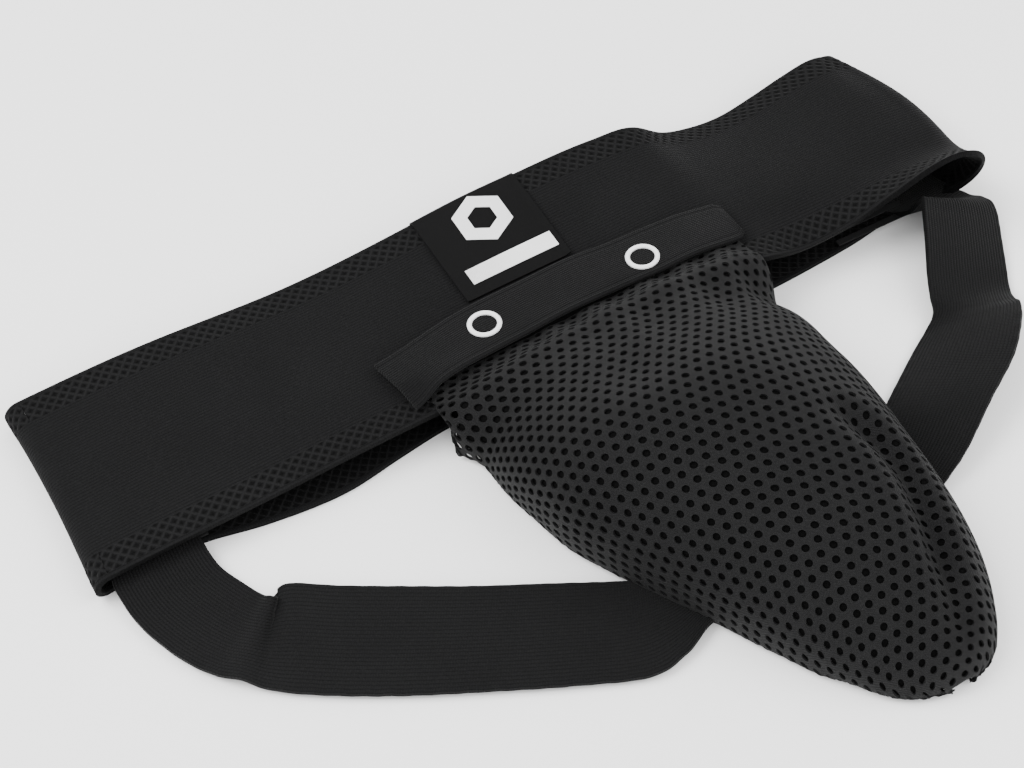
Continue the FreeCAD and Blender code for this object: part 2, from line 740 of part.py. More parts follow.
def build_left_strap():
    """Runs down from the inside of the waistband, folds once towards the pouch and ends under its tip."""
    sewn = strap_floor()
    start = strap_middle("left")
    low = low_edge()
    tip = pouch_tip()
    build_strap("leg_strap_left", [
        (start, low + 18, sewn, -90, 0, 0),
        (start, low - 1.5, sewn, -90, 0, 0),
        (start - 0.5, low - 11, 0, -84, 0, 0),
        (start + 6.5, low - 36, 0, -58, 0, 0),
        (start + 20, low - 43, 0, -27, 0, 0),
        (start + 33, low - 50.5, 0, -29, 0, 0),
        (tip.x - 79, tip.y + 68.5, 0, -29, 0, 0),
        (tip.x - 28, tip.y + 33.5, 0, -35, 0, 0),
    ])


def build_right_strap():
    """Rises out of the waistband in a hump, folds back on itself, leans and ends under the pouch's tip."""
    sewn = strap_floor()
    start = strap_middle("right")
    low = low_edge()
    tip = pouch_tip()
    build_strap("leg_strap_right", [
        (start - 1, low + 15, sewn, -86, 0, 0),
        (start, low - 2, sewn, -84, 0, 0),
        (start + 13, low - 11, 9, -80, 25, -14),
        (start + 20, low - 23, 12, -98, -10, -14),
        (start + 12, low - 42, 4, -112, -16, -8),
        (start + 8, low - 52, 4, -124, 0, 10),
        (start - 4, low - 66, 7.6, -138, 0, 23),
        (tip.x + 50, tip.y + 69.5, 5, -142, -6, 12),
        (tip.x + 14, tip.y + 35.5, 0, -135, 0, 0),
    ])


def build_tacks():
    """Bar tacks: rows of close stitches across each strap where it is sewn to the waistband."""
    high = size("tack_high")
    rise = strap_floor() + size("strap_cloth") + size("metal_gap")
    for side in ("left", "right"):
        rows = []
        for index in range(int(size("tack_count"))):
            row = Part.makeBox(size("tack_length"), size("tack_width"), high)
            row = row.makeFillet(high * 0.45, row.Edges)
            across = low_edge() + size("tack_start") + index * size("tack_pitch")
            row.translate(Vector(strap_middle(side) - size("tack_length") / 2, across, rise))
            rows.append(row)
        add_shape(f"strap_tacks_{side}", Part.makeCompound(rows))


def check_document():
    """Every object recomputed without error, and every part a valid solid."""
    for item in doc.Objects:
        if "Invalid" in item.State or "Error" in item.State:
            raise RuntimeError(f"{item.Label} did not recompute: {item.State}")
    for part in parts:
        if part.Shape.isNull() or not part.Shape.isValid() or not part.Shape.Solids:
            raise RuntimeError(f"{part.Label} has no valid solid")


build_waistband()
build_label()
build_snap_band()
build_press_studs()
build_lining()
build_mesh()
build_cup()
build_cup_rim()
build_left_strap()
build_right_strap()
build_tacks()
doc.recompute()
check_document()

os.makedirs("parts", exist_ok=True)
for part in parts:
    part.Shape.exportStep(f"parts/{part.Label}.step")
    box = part.Shape.BoundBox
    low = (round(box.XMin, 1), round(box.YMin, 1), round(box.ZMin, 1))
    high = (round(box.XMax, 1), round(box.YMax, 1), round(box.ZMax, 1))
    print(part.Label, "solids", len(part.Shape.Solids), "volume", round(part.Shape.Volume), low, high)
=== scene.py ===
import math

import bpy
import numpy as np
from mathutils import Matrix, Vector


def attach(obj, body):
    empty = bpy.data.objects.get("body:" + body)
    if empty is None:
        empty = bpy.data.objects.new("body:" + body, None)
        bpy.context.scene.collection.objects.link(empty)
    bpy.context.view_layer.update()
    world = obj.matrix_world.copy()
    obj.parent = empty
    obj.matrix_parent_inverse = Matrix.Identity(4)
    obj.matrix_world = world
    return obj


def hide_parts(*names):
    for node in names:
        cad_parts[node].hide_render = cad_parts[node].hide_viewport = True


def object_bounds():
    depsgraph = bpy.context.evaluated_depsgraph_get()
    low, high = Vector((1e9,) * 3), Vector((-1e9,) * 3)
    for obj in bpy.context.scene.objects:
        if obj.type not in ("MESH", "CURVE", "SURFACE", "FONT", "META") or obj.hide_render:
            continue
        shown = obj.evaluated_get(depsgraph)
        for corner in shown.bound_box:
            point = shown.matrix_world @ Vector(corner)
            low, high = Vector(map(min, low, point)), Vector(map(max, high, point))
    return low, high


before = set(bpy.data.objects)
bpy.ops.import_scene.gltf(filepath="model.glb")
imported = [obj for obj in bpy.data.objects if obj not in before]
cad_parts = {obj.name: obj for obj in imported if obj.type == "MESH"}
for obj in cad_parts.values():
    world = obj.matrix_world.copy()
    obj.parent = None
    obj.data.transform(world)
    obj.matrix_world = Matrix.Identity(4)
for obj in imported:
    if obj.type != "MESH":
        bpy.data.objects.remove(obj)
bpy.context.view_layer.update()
mm = 0.001
hexagonFlat = 0.866  # a hexagon's flats stand this share of its corners' radius from the middle

view = {"azimuth": -30, "elevation": 52, "distance": 757, "lens": 80, "target": (-11, -28, 0)}
studio = {
    "floorColor": (0.95, 0.95, 0.95, 1), "floorSize": 6, "floorRoughness": 0.9, "floorGap": 0.0002,
    "worldColor": (1, 1, 1, 1), "worldLight": 1.4, "lampAim": (0, -0.06, 0),
}
lamps = [  # name, place in metres, size, watts
    ("keyLamp", (-0.75, 0.35, 1.15), 0.9, 28),
    ("fillLamp", (0.85, -0.55, 1.0), 1.1, 14),
    ("frontLamp", (-0.35, -1.0, 0.7), 1.0, 7),
]


def makeCamera():
    turn = math.radians(view["azimuth"])
    tilt = math.radians(view["elevation"])
    back = Vector((math.sin(turn) * math.cos(tilt), -math.cos(turn) * math.cos(tilt), math.sin(tilt)))
    target = Vector(view["target"]) * mm
    data = bpy.data.cameras.new("viewCamera")
    data.lens = view["lens"]
    camera = bpy.data.objects.new("viewCamera", data)
    bpy.context.scene.collection.objects.link(camera)
    camera.location = target + back * view["distance"] * mm
    camera.rotation_euler = (-back).to_track_quat("-Z", "Y").to_euler()
    bpy.context.scene.camera = camera
    print("camera placed")


def makeStudio():
    deselect()
    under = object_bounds()[0][2] - studio["floorGap"]
    bpy.ops.mesh.primitive_plane_add(size=studio["floorSize"], location=(0, 0, under))
    floor = bpy.context.object
    floor.name = "floor"
    material = bpy.data.materials.new("paleFloor")
    material.use_nodes = True
    shader = material.node_tree.nodes["Principled BSDF"]
    shader.inputs["Base Color"].default_value = studio["floorColor"]
    shader.inputs["Roughness"].default_value = studio["floorRoughness"]
    floor.data.materials.append(material)
    world = bpy.data.worlds.new("paleRoom")
    world.use_nodes = True
    world.node_tree.nodes["Background"].inputs["Color"].default_value = studio["worldColor"]
    world.node_tree.nodes["Background"].inputs["Strength"].default_value = studio["worldLight"]
    bpy.context.scene.world = world
    for name, place, size, watts in lamps:
        data = bpy.data.lights.new(name, "AREA")
        data.size = size
        data.energy = watts
        lamp = bpy.data.objects.new(name, data)
        bpy.context.scene.collection.objects.link(lamp)
        lamp.location = place
        lamp.rotation_euler = (Vector(studio["lampAim"]) - Vector(place)).to_track_quat("-Z", "Y").to_euler()
    print("studio done")


def deselect():
    for item in bpy.context.selected_objects:
        item.select_set(False)


def choose(piece):
    deselect()
    piece.select_set(True)
    bpy.context.view_layer.objects.active = piece


def applyModifiers(piece):
    choose(piece)
    for modifier in list(piece.modifiers):
        bpy.ops.object.modifier_apply(modifier=modifier.name)


def mergeDoubles(piece, distance=0.00002):
    choose(piece)
    bpy.ops.object.mode_set(mode="EDIT")
    bpy.ops.mesh.select_all(action="SELECT")
    bpy.ops.mesh.remove_doubles(threshold=distance)
    bpy.ops.object.mode_set(mode="OBJECT")


def faceOutwards(piece):
    choose(piece)
    bpy.ops.object.mode_set(mode="EDIT")
    bpy.ops.mesh.select_all(action="SELECT")
    bpy.ops.mesh.normals_make_consistent(inside=False)
    bpy.ops.object.mode_set(mode="OBJECT")


def smooth(piece, angle=50):
    choose(piece)
    bpy.ops.object.shade_smooth_by_angle(angle=math.radians(angle))


def step(value, low, high):  # 0 at low, 1 at high, eased at both
    share = np.clip((np.asarray(value, float) - low) / (high - low), 0, 1)
    return share * share * (3 - 2 * share)


def hump(value, middle, width):
    return np.exp(-((np.asarray(value, float) - middle) / width) ** 2)


def through(points, at):  # smooth line through (place, value) pairs
    places = np.array([point[0] for point in points], float)
    values = np.array([point[1:] for point in points], float)
    slopes = np.gradient(values, places, axis=0)
    at = np.clip(np.asarray(at, float), places[0], places[-1])
    low = np.clip(np.searchsorted(places, at, side="right") - 1, 0, len(places) - 2)
    gap = places[low + 1] - places[low]
    t = ((at - places[low]) / gap)[..., None]
    gap = gap[..., None]
    line = (
        (2 * t ** 3 - 3 * t ** 2 + 1) * values[low]
        + (t ** 3 - 2 * t ** 2 + t) * gap * slopes[low]
        + (3 * t ** 2 - 2 * t ** 3) * values[low + 1]
        + (t ** 3 - t ** 2) * gap * slopes[low + 1]
    )
    return line[..., 0] if line.shape[-1] == 1 else line


def clothGrid(name, along, across, place, flat, rows=None):
    # a flat grid laid out by place(u, v) in millimetres; its UV map holds metres on the cloth
    deselect()
    bpy.ops.mesh.primitive_grid_add(x_subdivisions=along, y_subdivisions=across, size=2, calc_uvs=True)
    piece = bpy.context.object
    piece.name = piece.data.name = name
    corners = np.empty(len(piece.data.vertices) * 3)
    piece.data.vertices.foreach_get("co", corners)
    corners = corners.reshape(-1, 3)
    u = (corners[:, 0] + 1) / 2
    v = (corners[:, 1] + 1) / 2
    if rows is not None:
        v = np.asarray(rows)[np.rint(v * across).astype(int)]
    piece.data.vertices.foreach_set("co", (np.stack(place(u, v), axis=1) * mm).ravel())
    points = np.empty(len(piece.data.loops), int)
    piece.data.loops.foreach_get("vertex_index", points)
    sheet = np.stack([u[points] * flat[0] * mm, v[points] * flat[1] * mm], axis=1)
    piece.data.uv_layers[0].data.foreach_set("uv", sheet.ravel())
    piece.data.update()
    return piece


def thicken(piece, thickness, offset=-1.0):
    solid = piece.modifiers.new("thickness", "SOLIDIFY")
    solid.thickness = thickness * mm
    solid.offset = offset
    solid.use_even_offset = False
    applyModifiers(piece)


def finishPiece(piece, material, body, nodes=()):
    piece.data.materials.clear()
    piece.data.materials.append(material)
    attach(piece, body)
    if nodes:
        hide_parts(*nodes)


def cadPlane(node):  # height, slope along x and slope along y of a flat CAD piece's middle
    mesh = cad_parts[node].data
    corners = np.array([corner.co[:] for corner in mesh.vertices]) / mm
    table = np.stack([np.ones(len(corners)), corners[:, 0], corners[:, 1]], axis=1)
    return np.linalg.lstsq(table, corners[:, 2], rcond=None)[0]


def newGroup(name, inputs, outputs):
    group = bpy.data.node_groups.new(name, "ShaderNodeTree")
    for label, kind, value in inputs:
        socket = group.interface.new_socket(label, in_out="INPUT", socket_type=kind)
        if value is not None:
            socket.default_value = value
    for label, kind in outputs:
        group.interface.new_socket(label, in_out="OUTPUT", socket_type=kind)
    return group, group.nodes.new("NodeGroupInput"), group.nodes.new("NodeGroupOutput")


def calc(tree, kind, first, second=None):
    node = tree.nodes.new("ShaderNodeMath")
    node.operation = kind
    for socket, value in zip(node.inputs, (first, second)):
        if value is None:
            continue
        if isinstance(value, (int, float)):
            socket.default_value = value
        else:
            tree.links.new(value, socket)
    return node.outputs[0]


def makeWeaveGroup():
    # threads crossing over and under; the second output is painted shade, darker where the threads sink
    group, source, target = newGroup(
        "threadWeave",
        [
            ("Cloth", "NodeSocketVector", None),
            ("Warp Pitch", "NodeSocketFloat", 0.001),
            ("Weft Pitch", "NodeSocketFloat", 0.001),
        ],
        [("Height", "NodeSocketFloat"), ("ShadeGap", "NodeSocketFloat")],
    )
    split = group.nodes.new("ShaderNodeSeparateXYZ")
    group.links.new(source.outputs["Cloth"], split.inputs[0])
    turn = 2 * math.pi
    alongShare = calc(group, "DIVIDE", split.outputs[0], source.outputs["Warp Pitch"])
    acrossShare = calc(group, "DIVIDE", split.outputs[1], source.outputs["Weft Pitch"])
    first = calc(group, "SINE", calc(group, "MULTIPLY", alongShare, turn))
    second = calc(group, "SINE", calc(group, "MULTIPLY", acrossShare, turn))
    product = calc(group, "MULTIPLY", first, second)
    height = calc(group, "MULTIPLY_ADD", product, 0.5)
    height.node.inputs[2].default_value = 0.5
    # painted shade: the lower a point of the weave, the darker it is coloured
    gap = calc(group, "POWER", calc(group, "SUBTRACT", 1.0, height), 3.0)
    group.links.new(height, target.inputs["Height"])
    group.links.new(gap, target.inputs["ShadeGap"])
    return group


def makeRibGroup():
    # straight cords side by side, each crossed by fine threads; the second output is painted shade in the
    # grooves between cords
    group, source, target = newGroup(
        "cordRibs",
        [
            ("Cloth", "NodeSocketVector", None),
            ("Rib Pitch", "NodeSocketFloat", 0.001),
            ("Thread Pitch", "NodeSocketFloat", 0.0005),
        ],
        [("Height", "NodeSocketFloat"), ("ShadeGap", "NodeSocketFloat")],
    )
    split = group.nodes.new("ShaderNodeSeparateXYZ")
    group.links.new(source.outputs["Cloth"], split.inputs[0])
    ribShare = calc(group, "DIVIDE", split.outputs[1], source.outputs["Rib Pitch"])
    threadShare = calc(group, "DIVIDE", split.outputs[0], source.outputs["Thread Pitch"])
    rib = calc(group, "ABSOLUTE", calc(group, "SINE", calc(group, "MULTIPLY", ribShare, math.pi)))
    offset = calc(group, "MULTIPLY", calc(group, "FLOOR", ribShare), 0.5)
    threads = calc(group, "ADD", threadShare, offset)
    thread = calc(group, "ABSOLUTE", calc(group, "SINE", calc(group, "MULTIPLY", threads, math.pi)))
    height = calc(group, "ADD", calc(group, "MULTIPLY", rib, 0.65), calc(group, "MULTIPLY", thread, 0.35))
    # painted shade: the grooves between the cords are coloured darker
    gap = calc(group, "POWER", calc(group, "SUBTRACT", 1.0, rib), 2.0)
    group.links.new(height, target.inputs["Height"])
    group.links.new(gap, target.inputs["ShadeGap"])
    return group


def makeFuzzGroup():
    # uneven dye and lint, from large soft patches and fine specks
    group, source, target = newGroup(
        "clothFuzz",
        [("Place", "NodeSocketVector", None), ("Lint", "NodeSocketFloat", 0.3)],
        [("Tone", "NodeSocketFloat"), ("Specks", "NodeSocketFloat")],
    )
    broad = group.nodes.new("ShaderNodeTexNoise")
    broad.inputs["Scale"].default_value = 38
    broad.inputs["Detail"].default_value = 3
    fine = group.nodes.new("ShaderNodeTexNoise")
    fine.inputs["Scale"].default_value = 1900
    fine.inputs["Detail"].default_value = 2
    group.links.new(source.outputs["Place"], broad.inputs["Vector"])
    group.links.new(source.outputs["Place"], fine.inputs["Vector"])
    tone = calc(group, "ADD", calc(group, "MULTIPLY", broad.outputs[0], 0.5), 0.75)
    specks = calc(group, "MULTIPLY", calc(group, "POWER", fine.outputs[0], 3.0), source.outputs["Lint"])
    group.links.new(tone, target.inputs["Tone"])
    group.links.new(specks, target.inputs["Specks"])
    return group


def startMaterial(name, roughness, sheen=0.0, specular=0.35):
    material = bpy.data.materials.new(name)
    material.use_nodes = True
    tree = material.node_tree
    shader = tree.nodes["Principled BSDF"]
    shader.inputs["Roughness"].default_value = roughness
    shader.inputs["Sheen Weight"].default_value = sheen
    shader.inputs["Sheen Roughness"].default_value = 0.4
    shader.inputs["Specular IOR Level"].default_value = specular
    places = tree.nodes.new("ShaderNodeTexCoord")
    return material, tree, shader, places


def placeGroup(tree, group, **inputs):
    node = tree.nodes.new("ShaderNodeGroup")
    node.node_tree = group
    for label, value in inputs.items():
        socket = node.inputs[label.replace("_", " ")]
        if isinstance(value, (int, float)):
            socket.default_value = value
        else:
            tree.links.new(value, socket)
    return node


def mixColors(tree, share, first, second):
    node = tree.nodes.new("ShaderNodeMix")
    node.data_type = "RGBA"
    if isinstance(share, (int, float)):
        node.inputs["Factor"].default_value = share
    else:
        tree.links.new(share, node.inputs["Factor"])
    for socket, value in ((node.inputs[6], first), (node.inputs[7], second)):
        if isinstance(value, tuple):
            socket.default_value = (*value, 1)
        else:
            tree.links.new(value, socket)
    return node.outputs[2]


def scaleColor(tree, color, amount):
    node = tree.nodes.new("ShaderNodeVectorMath")
    node.operation = "SCALE"
    tree.links.new(color, node.inputs[0])
    tree.links.new(amount, node.inputs["Scale"])
    return node.outputs[0]


def addBump(tree, shader, height, depth, strength=1.0):
    bump = tree.nodes.new("ShaderNodeBump")
    bump.inputs["Distance"].default_value = depth
    bump.inputs["Strength"].default_value = strength
    tree.links.new(height, bump.inputs["Height"])
    tree.links.new(bump.outputs[0], shader.inputs["Normal"])


def wovenMaterial(name, look):
    # look: thread colour, gap colour (painted shade between the threads), pitches in millimetres, relief and
    # finish
    material, tree, shader, places = startMaterial(name, look["roughness"], look["sheen"], look["specular"])
    cloth = places.outputs["UV"]
    if look["kind"] == "ribs":
        weave = placeGroup(
            tree, ribGroup, Cloth=cloth, Rib_Pitch=look["pitch"] * mm, Thread_Pitch=look["thread"] * mm
        )
    else:
        weave = placeGroup(
            tree, weaveGroup, Cloth=cloth, Warp_Pitch=look["pitch"] * mm, Weft_Pitch=look["thread"] * mm
        )
    fuzz = placeGroup(tree, fuzzGroup, Place=places.outputs["Object"], Lint=look["lint"])
    # painted shade: the darker gap colour fills the low parts between threads
    color = mixColors(tree, weave.outputs["ShadeGap"], look["color"], look["gap"])
    color = scaleColor(tree, color, fuzz.outputs["Tone"])
    color = mixColors(tree, fuzz.outputs["Specks"], color, look["lintColor"])
    tree.links.new(color, shader.inputs["Base Color"])
    height = calc(tree, "ADD", weave.outputs["Height"], calc(tree, "MULTIPLY", fuzz.outputs["Specks"], 0.6))
    addBump(tree, shader, height, look["relief"] * mm)
    return material


weaveGroup = makeWeaveGroup()
ribGroup = makeRibGroup()
fuzzGroup = makeFuzzGroup()
# the gap colour is painted shade between the threads
blackCloth = {
    "kind": "ribs", "color": (0.0048, 0.0048, 0.005), "gap": (0.0012, 0.0012, 0.0013),
    "lintColor": (0.03, 0.03, 0.031), "lint": 0.3, "pitch": 1.0, "thread": 0.6, "relief": 0.3,
    "roughness": 0.86, "sheen": 0.04, "specular": 0.06,
}


waist = {
    "bottom": 0.15, "cloth": 1.9, "height": 76, "girth": 660,
    "columns": 1050, "edgeZone": 9.5, "lip": 1.5,
    "diamond": 3.7, "diamondRelief": 0.42, "lowest": 0.05, "flatRelief": 0.35,
    "ribPitch": 1.15, "threadPitch": 0.8, "lint": 0.35, "bump": 0.4,
    # painted shade: the second rib colour darkens the grooves between ribs, the near-black diamond colour
    # darkens the sunk diamonds between cords
    "ribColor": (0.005, 0.005, 0.0052), "ribGapShade": (0.0018, 0.0018, 0.0019),
    "diamondShade": (0.0004, 0.0004, 0.0004), "diamondCord": (0.0065, 0.0065, 0.0067),
    "lintColor": (0.03, 0.03, 0.031),
    # heights of the front layer along x at its lower edge, at the press studs' line and at its top edge
    "lowLine": [
        (-172, 10), (-150, 10.5), (-100, 11.5), (-50, 14), (0, 20.5), (40, 23.5), (80, 22),
        (99, 16), (116, 18), (132, 26), (148, 34), (165, 37),
    ],
    "midLine": [
        (-172, 10), (-150, 11.5), (-100, 13), (-50, 14.5), (-15, 15.9), (15, 17.1), (45, 18.2),
        (80, 20), (120, 20), (165, 19),
    ],
    "topLine": [
        (-172, 11), (-150, 12), (-60, 13), (-20, 16), (10, 19), (35, 20), (60, 19.5), (77, 18.3),
        (88, 11), (100, 8), (112, 7.5), (125, 9), (140, 12), (156, 14), (165, 11),
    ],
    "studLine": -17,
    # how far the edges wander from straight, front and back
    "topWander": [
        (-172, 0), (-110, 0.6), (-60, -0.6), (20, 0.3), (70, 0.8), (83, -1), (96, -2), (110, -2.5),
        (128, -1), (150, 0.5), (172, -1),
    ],
    "lowWander": [
        (-172, -1), (-120, 1), (-60, 2), (0, 0.5), (80, -0.5), (110, 0), (140, -2), (160, -4),
        (172, -5),
    ],
    "backWander": [
        (-172, -1), (-129, 3.5), (-106, -0.5), (-78, -2), (-57, 1.5), (-41, 4), (20, 2), (90, 1),
        (121, 3.5), (150, 7), (172, 2),
    ],
    "rightEnd": [(-38, 172), (-20, 174), (8, 174), (26, 170), (38, 165)],
    "leftEnd": [(-38, -165), (0, -163), (25, -163), (38, -163.5)],
}


def frontHeight(x, y):
    low = through(waist["lowLine"], x)
    middle = through(waist["midLine"], x)
    top = through(waist["topLine"], x)
    half = waist["height"] / 2
    knee = waist["studLine"]
    below = middle + (low - middle) * ((knee - y) / (knee + half)) ** 2
    above = middle + (top - middle) * np.abs((y - knee) / (half - knee)) ** 1.4
    ripple = waist["flatRelief"] * np.sin(x / 17 + y / 23) * step(np.abs(y), 8, 30)
    return np.where(y < knee, below, above) + ripple


def waistRow(y, count):  # points round the loop at one place across the cloth: x, wander, z
    right = through(waist["rightEnd"], np.array([y]))[0]
    left = through(waist["leftEnd"], np.array([y]))[0]
    floor = waist["bottom"]
    rightRadius = (frontHeight(np.array([right - 8]), np.array([y]))[0] - floor) / 2
    leftRadius = (frontHeight(np.array([left + 6]), np.array([y]))[0] - floor) / 2
    share = y / waist["height"] + 0.5
    frontX = np.linspace(left + leftRadius, right - rightRadius, 500)
    backX = frontX[::-1]
    frontZ = frontHeight(frontX, np.full_like(frontX, y))
    rightTurn = np.linspace(math.pi / 2, -math.pi / 2, 40)[1:-1]
    leftTurn = np.linspace(-math.pi / 2, -1.5 * math.pi, 30)[1:-1]
    # the folds are a little pinched, flatter than half circles
    x = np.concatenate([
        frontX,
        right - rightRadius + rightRadius * np.cos(rightTurn),
        backX,
        left + leftRadius + leftRadius * np.cos(leftTurn),
    ])
    z = np.concatenate([
        frontZ,
        floor + rightRadius + (frontZ[-1] - floor - rightRadius) * np.sin(rightTurn),
        np.full_like(backX, floor),
        floor + leftRadius + (frontZ[0] - floor - leftRadius) * np.sin(leftTurn),
    ])
    z[z < floor] = floor
    topShift = share ** 2 * through(waist["topWander"], x)
    frontShift = topShift + (1 - share) ** 2 * through(waist["lowWander"], x)
    backShift = (1 - share) ** 2 * through(waist["backWander"], x)
    height = np.clip((z - floor) / np.maximum(frontHeight(x, np.full_like(x, y)) - floor, 1), 0, 1)
    shift = frontShift * height + backShift * (1 - height)
    length = np.concatenate([[0], np.cumsum(np.hypot(np.diff(x), np.diff(z)))])
    closing = length[-1] + math.hypot(x[0] - x[-1], z[0] - z[-1])
    places = np.linspace(0, closing, count)
    loop = [np.append(values, values[0]) for values in (x, shift, z)]
    return [np.interp(places, np.append(length, closing), values) for values in loop]


def buildWaistband():
    zone = waist["edgeZone"] / waist["height"]
    rows = np.concatenate([
        np.linspace(0, zone, 14), np.linspace(zone, 1 - zone, 16)[1:-1], np.linspace(1 - zone, 1, 14)
    ])
    count = waist["columns"] + 1
    table = [waistRow((row - 0.5) * waist["height"], count) for row in rows]
    x, shift, z = [np.array([line[part] for line in table]) for part in range(3)]
    y = (rows[:, None] - 0.5) * waist["height"] + shift
    runX = np.gradient(x, axis=1)
    runZ = np.gradient(z, axis=1)
    size = np.hypot(runX, runZ)
    # diamonds stand proud in the two edge zones, inside a smooth lip
    across = rows[:, None] * waist["height"]
    along = np.linspace(0, waist["girth"], count)[None, :]
    inside = np.minimum(across, waist["height"] - across)
    pastLip = step(inside, waist["lip"], waist["lip"] + 0.6)
    zoneMask = pastLip * (1 - step(inside, waist["edgeZone"] - 1, waist["edgeZone"]))
    pitch = waist["diamond"]
    rising = np.abs(np.cos(math.pi * (along + across) / pitch))
    falling = np.abs(np.cos(math.pi * (along - across) / pitch))
    proud = waist["diamondRelief"] * zoneMask * (np.maximum(rising, falling) ** 2 - 0.7)
    x = x - proud * runZ / size
    z = z + proud * runX / size
    z = np.maximum(z, waist["lowest"])

    def place(u, v):
        column = np.rint(u * waist["columns"]).astype(int)
        row = np.searchsorted(rows, v - 1e-6)
        return x[row, column], y[row, column], z[row, column]

    piece = clothGrid("waistbandElastic", waist["columns"], len(rows) - 1, place,
                      (waist["girth"], waist["height"]), rows)
    mergeDoubles(piece)
    thicken(piece, waist["cloth"])
    smooth(piece)
    finishPiece(piece, elasticMaterial(), "garment", ["waistband"])
    print("waistband done", len(piece.data.polygons))
    return piece


def elasticMaterial():
    material, tree, shader, places = startMaterial("ribbedElastic", 0.88, 0.02, 0.06)
    cloth = places.outputs["UV"]
    split = tree.nodes.new("ShaderNodeSeparateXYZ")
    tree.links.new(cloth, split.inputs[0])
    across = calc(tree, "MULTIPLY", split.outputs[1], 1 / mm)
    other = calc(tree, "SUBTRACT", waist["height"], across)
    inside = calc(tree, "MINIMUM", across, other)
    edge = calc(tree, "LESS_THAN", inside, waist["edgeZone"])
    lip = calc(tree, "LESS_THAN", inside, waist["lip"])
    edge = calc(tree, "SUBTRACT", edge, lip)
    # two sets of raised cords cross at a slant; the diamonds between them are coloured near black as painted
    # shade
    along = calc(tree, "MULTIPLY", split.outputs[0], 1 / mm)
    cords = []
    for kind in ("ADD", "SUBTRACT"):
        share = calc(tree, "MULTIPLY", calc(tree, kind, along, across), math.pi / waist["diamond"])
        cords.append(calc(tree, "ABSOLUTE", calc(tree, "COSINE", share)))
    cord = calc(tree, "POWER", calc(tree, "MAXIMUM", *cords), 3.0)
    ribs = placeGroup(
        tree, ribGroup, Cloth=cloth, Rib_Pitch=waist["ribPitch"] * mm, Thread_Pitch=waist["threadPitch"] * mm
    )
    fuzz = placeGroup(tree, fuzzGroup, Place=places.outputs["Object"], Lint=waist["lint"])
    # painted shade in the rib grooves and in the sunk diamonds between the cords
    middleColor = mixColors(tree, ribs.outputs["ShadeGap"], waist["ribColor"], waist["ribGapShade"])
    edgeColor = mixColors(tree, cord, waist["diamondShade"], waist["diamondCord"])
    color = mixColors(tree, edge, middleColor, edgeColor)
    color = scaleColor(tree, color, fuzz.outputs["Tone"])
    color = mixColors(tree, fuzz.outputs["Specks"], color, waist["lintColor"])
    tree.links.new(color, shader.inputs["Base Color"])
    middleHeight = calc(tree, "MULTIPLY", ribs.outputs["Height"], 0.5)
    edgeHeight = calc(tree, "MULTIPLY", cord, edge)
    flatShare = calc(tree, "SUBTRACT", 1.0, edge)
    height = calc(tree, "ADD", edgeHeight, calc(tree, "MULTIPLY", middleHeight, flatShare))
    addBump(tree, shader, height, waist["bump"] * mm)
    return material


label = {
    "left": -13, "right": 27, "low": -2.2, "behind": 29, "topEdge": 38.7, "lift": 0.45, "cloth": 0.55,
    "foldUnder": 2.9, "size": (40, 54), "grid": (60, 110), "curl": 0.7,
    "threadLift": 0.12, "threadHigh": 0.16,
    "hexagon": {"middle": (8.5, 26), "radius": 10.6, "hole": 5.2},
    "bar": {"middle": (8.8, 6.2), "size": (33, 6.6)},
}


def onWaist(x, y, lift):
    shift = (y / waist["height"] + 0.5) ** 2 * through(waist["topWander"], x)
    return x, y + shift, frontHeight(x, y) + lift


def buildLabel():
    inner = label["topEdge"] - 1.0
    path = [  # place across the cloth, height over the elastic
        (label["behind"], -label["foldUnder"]), (inner, -label["foldUnder"]),
        (label["topEdge"] + 0.1, -1.9), (label["topEdge"] + 0.5, -0.9), (label["topEdge"], 0.1),
        (inner, label["lift"] + label["cloth"]), (20, label["lift"] + label["cloth"] + 0.1),
        (label["low"], label["lift"] + label["cloth"]),
    ]
    points = np.array(path)
    length = np.concatenate([[0], np.cumsum(np.hypot(*np.diff(points, axis=0).T))])

    def place(u, v):
        x = label["left"] + (label["right"] - label["left"]) * u
        run = v * length[-1]
        y = np.interp(run, length, points[:, 0])
        lift = np.interp(run, length, points[:, 1])
        curl = label["curl"] * (step(u, 0.94, 1) + 0.3 * step(1 - u, 0.96, 1)) * step(run, 12, 16)
        onFront = np.minimum(y, waist["height"] / 2)
        height = frontHeight(x, onFront) + lift + curl
        shift = (onFront / waist["height"] + 0.5) ** 2 * through(waist["topWander"], x)
        return x, y + shift, height

    piece = clothGrid("labelCloth", *label["grid"], lambda u, v: place(1 - u, v), label["size"])
    thicken(piece, label["cloth"])
    smooth(piece)
    # the gap colour here is painted shade between the satin threads
    look = dict(
        blackCloth, kind="weave", color=(0.0025, 0.0025, 0.0026), gap=(0.0015, 0.0015, 0.0015),
        pitch=0.5, thread=0.5, relief=0.08, roughness=0.6, sheen=0.02, lint=0.12,
    )
    finishPiece(piece, wovenMaterial("labelSatin", look), "garment", ["woven_label"])
    emblem = buildEmblem()
    bar = buildBar()
    print("label done")


def layOnLabel(piece, thickness):
    lift = label["lift"] + label["cloth"] + label["threadLift"]
    for corner in piece.data.vertices:
        x, y, z = onWaist(np.array([corner.co.x / mm]), np.array([corner.co.y / mm]), 0)
        corner.co = (x[0] * mm, y[0] * mm, (z[0] + lift) * mm)
    thicken(piece, thickness, 1.0)
    smooth(piece, 30)
    # the grey gap colour here is painted shade between the white threads
    look = dict(
        blackCloth, kind="weave", color=(0.86, 0.86, 0.86), gap=(0.6, 0.6, 0.6), lintColor=(0.9, 0.9, 0.9),
        pitch=0.7, thread=0.45, relief=0.08, roughness=0.6, sheen=0.1, lint=0.1, specular=0.3,
    )
    material = bpy.data.materials.get("labelWhite") or wovenMaterial("labelWhite", look)
    finishPiece(piece, material, "garment")


